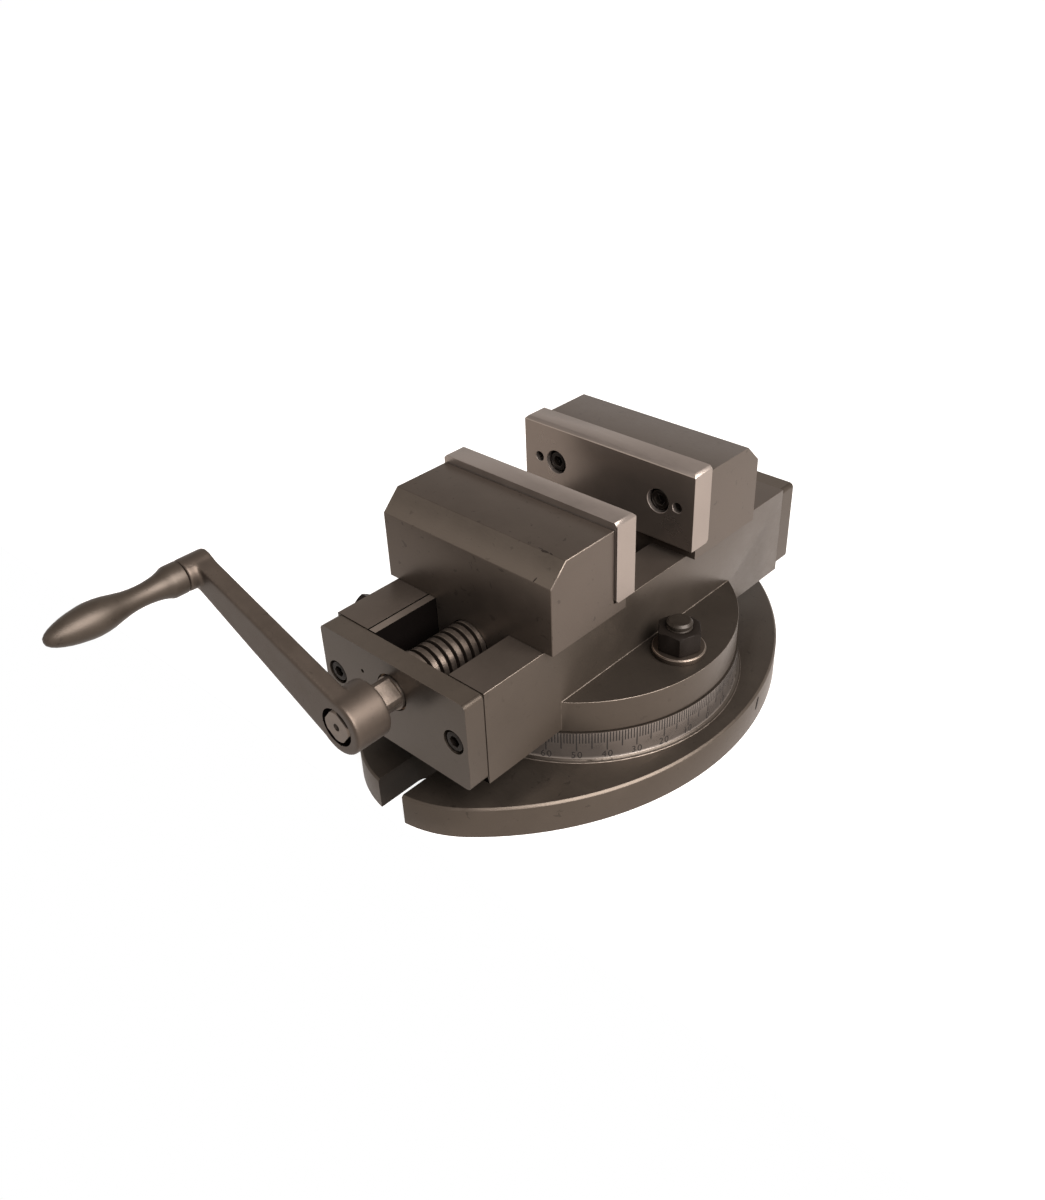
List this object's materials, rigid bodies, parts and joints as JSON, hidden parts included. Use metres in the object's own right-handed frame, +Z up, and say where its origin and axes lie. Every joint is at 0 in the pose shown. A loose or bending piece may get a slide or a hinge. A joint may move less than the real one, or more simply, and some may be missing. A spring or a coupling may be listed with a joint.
{
  "type": "self-centering vise",
  "caption": "Self-centring machine vise: opposed jaws on one left- and right-hand screw with a crank, on a graduated swivel base with table slots.",
  "frame": {"origin": "centre of the base's underside, on the swivel's axis", "axes": "+Z up along the swivel's axis, X along the jaws' width, Y along the screw with the crank at -Y"},
  "size_m": [0.1876, 0.3467, 0.127],
  "materials": {
    "cast_body": "ground and oiled, dark grey-brown",
    "cast_base": "ground and oiled, dark grey-brown",
    "jaw_block": "ground and oiled, dark grey-brown",
    "jaw_face": "hardened and ground, pale satin",
    "end_plate": "ground and oiled",
    "bright_steel": "turned and ground, bright",
    "crank_steel": "polished forging with a soft sheen",
    "grip_steel": "turned and polished",
    "black_steel": "black oxide",
    "bronze": "plain bearing bronze"
  },
  "bodies": {
    "base": {"swivel_base": "cast_base"},
    "body": {"vise_body": "cast_body", "pivot_pin": "bright_steel", "gib_strip": "bright_steel", "gib_screw_1": "black_steel", "gib_screw_2": "black_steel", "gib_screw_3": "black_steel", "gib_screw_4": "black_steel", "gib_lock_nut_1": "black_steel", "gib_lock_nut_2": "black_steel", "gib_lock_nut_3": "black_steel", "gib_lock_nut_4": "black_steel", "clamp_bolt_left": "black_steel", "clamp_bolt_right": "black_steel", "clamp_washer_left": "bright_steel", "clamp_washer_right": "bright_steel", "front_end_plate": "end_plate", "rear_end_plate": "end_plate", "front_plate_screw_left": "black_steel", "front_plate_screw_right": "black_steel", "rear_plate_screw_left": "black_steel", "rear_plate_screw_right": "black_steel", "front_bush": "bronze", "rear_bush": "bronze", "front_thrust_washer": "bright_steel", "rear_thrust_washer": "bright_steel"},
    "left_nut": {"clamp_nut_left": "black_steel"},
    "right_nut": {"clamp_nut_right": "black_steel"},
    "screw": {"lead_screw": "bright_steel"},
    "front_jaw_slide": {"front_jaw": "jaw_block", "front_jaw_plate": "jaw_face", "front_jaw_screw_left": "black_steel", "front_jaw_screw_right": "black_steel", "front_lead_nut": "bronze", "front_keeper": "bright_steel", "front_keeper_screw_left": "black_steel", "front_keeper_screw_right": "black_steel"},
    "rear_jaw_slide": {"rear_jaw": "jaw_block", "rear_jaw_plate": "jaw_face", "rear_jaw_screw_left": "black_steel", "rear_jaw_screw_right": "black_steel", "rear_lead_nut": "bronze", "rear_keeper": "bright_steel", "rear_keeper_screw_left": "black_steel", "rear_keeper_screw_right": "black_steel"},
    "crank": {"crank_arm": "crank_steel", "grip_spindle": "bright_steel"},
    "grip": {"handle_grip": "grip_steel"}
  },
  "joints": [
    {"name": "swivel", "type": "hinge", "parent": "base", "child": "body", "pos_m": [0, 0, 0.031], "axis": [0, 0, 1], "continuous": true},
    {"name": "left_nut_turn", "type": "hinge", "parent": "body", "child": "left_nut", "pos_m": [-0.0611, 0, 0.0518], "axis": [0, 0, 1], "continuous": true},
    {"name": "right_nut_turn", "type": "hinge", "parent": "body", "child": "right_nut", "pos_m": [0.0611, 0, 0.0518], "axis": [0, 0, 1], "continuous": true},
    {"name": "screw_turn", "type": "hinge", "parent": "body", "child": "screw", "pos_m": [0, 0, 0.0653], "axis": [0, 1, 0], "range_deg": [-2310, 1680]},
    {"name": "front_jaw_travel", "type": "slide", "parent": "body", "child": "front_jaw_slide", "axis": [0, 1, 0], "range_m": [-0.02895, 0.02105]},
    {"name": "rear_jaw_travel", "type": "slide", "parent": "body", "child": "rear_jaw_slide", "axis": [0, -1, 0], "range_m": [-0.02895, 0.02105]},
    {"name": "crank_pull_off", "type": "slide", "parent": "screw", "child": "crank", "axis": [0, -1, 0], "range_m": [0, 0.025]},
    {"name": "grip_spin", "type": "hinge", "parent": "crank", "child": "grip", "pos_m": [-0.09039, -0.156, 0.10367], "axis": [0, 1, 0], "continuous": true}
  ],
  "couplings": [
    {"joint": "front_jaw_travel", "follows": "screw_turn", "m_per_rad": 0.0007162},
    {"joint": "rear_jaw_travel", "follows": "screw_turn", "m_per_rad": 0.0007162}
  ]
}
